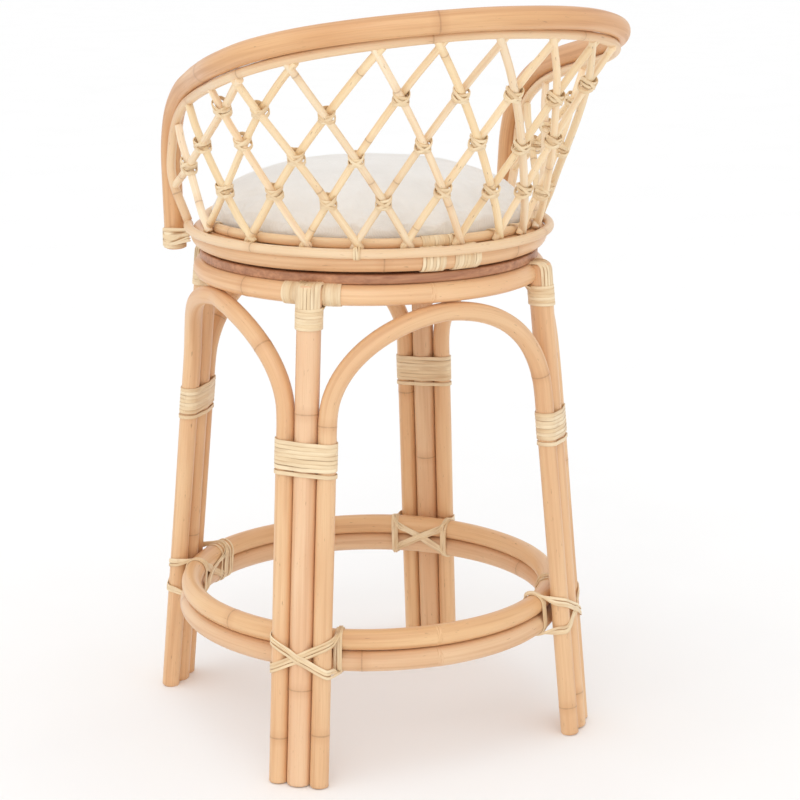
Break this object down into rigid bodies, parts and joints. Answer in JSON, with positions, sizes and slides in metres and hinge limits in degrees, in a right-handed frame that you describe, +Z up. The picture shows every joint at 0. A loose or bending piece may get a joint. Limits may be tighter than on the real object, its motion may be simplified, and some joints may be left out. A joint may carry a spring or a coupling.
{
  "type": "rattan swivel bar stool",
  "caption": "Swivel counter stool of bent rattan: arched pole legs with a ring footrest, a flared lattice back that wraps round into arms, and a round domed seat cushion.",
  "frame": {"origin": "on the floor under the middle of the whole stool", "axes": "+Z up, -Y towards the open front of the seat"},
  "size_m": [0.4966, 0.5952, 0.8977],
  "materials": {
    "pole_rattan": "peeled rattan pole, clear satin lacquer",
    "rail_rattan": "peeled rattan pole, slightly darker, clear satin lacquer",
    "thin_rattan": "thin peeled rattan, clear satin lacquer",
    "cane_binding": "flat cane strip, natural, wound tight",
    "lattice_rattan": "pale rattan core rods, satin",
    "plywood": "stained plywood, satin",
    "cushion_cloth": "plain off-white woven cotton",
    "swivel_steel": "zinc-plated sheet steel"
  },
  "bodies": {
    "base": {"base_ring": "pole_rattan", "leg_pole_1": "pole_rattan", "leg_pole_2": "pole_rattan", "leg_pole_3": "pole_rattan", "leg_pole_4": "pole_rattan", "leg_arch_1": "pole_rattan", "leg_arch_2": "pole_rattan", "leg_arch_3": "pole_rattan", "leg_arch_4": "pole_rattan", "leg_top_binding_1": "cane_binding", "leg_top_binding_2": "cane_binding", "leg_top_binding_3": "cane_binding", "leg_top_binding_4": "cane_binding", "leg_mid_binding_1": "cane_binding", "leg_mid_binding_2": "cane_binding", "leg_mid_binding_3": "cane_binding", "leg_mid_binding_4": "cane_binding", "footrest_lashing_1": "cane_binding", "footrest_lashing_2": "cane_binding", "footrest_lashing_3": "cane_binding", "footrest_lashing_4": "cane_binding", "footrest_ring_upper": "pole_rattan", "footrest_ring_lower": "pole_rattan", "base_board": "plywood", "swivel_lower_plate": "swivel_steel", "lower_plate_screw_1": "swivel_steel", "lower_plate_screw_2": "swivel_steel", "lower_plate_screw_3": "swivel_steel", "lower_plate_screw_4": "swivel_steel", "swivel_ball_race": "swivel_steel"},
    "seat": {"swivel_upper_plate": "swivel_steel", "upper_plate_screw_1": "swivel_steel", "upper_plate_screw_2": "swivel_steel", "upper_plate_screw_3": "swivel_steel", "upper_plate_screw_4": "swivel_steel", "seat_board": "plywood", "seat_ring": "pole_rattan", "seat_outer_rim": "thin_rattan", "seat_inner_rim": "thin_rattan", "seat_ring_wrap_1": "cane_binding", "seat_ring_wrap_2": "cane_binding", "top_rail": "rail_rattan", "rail_thin_pole": "thin_rattan", "back_lattice": "lattice_rattan", "post_binding_right": "cane_binding", "post_binding_left": "cane_binding", "seat_cushion": "cushion_cloth"}
  },
  "joints": [
    {"name": "seat_swivel", "type": "hinge", "parent": "base", "child": "seat", "pos_m": [0, -0.057, 0.6], "axis": [0, 0, 1], "continuous": true}
  ]
}
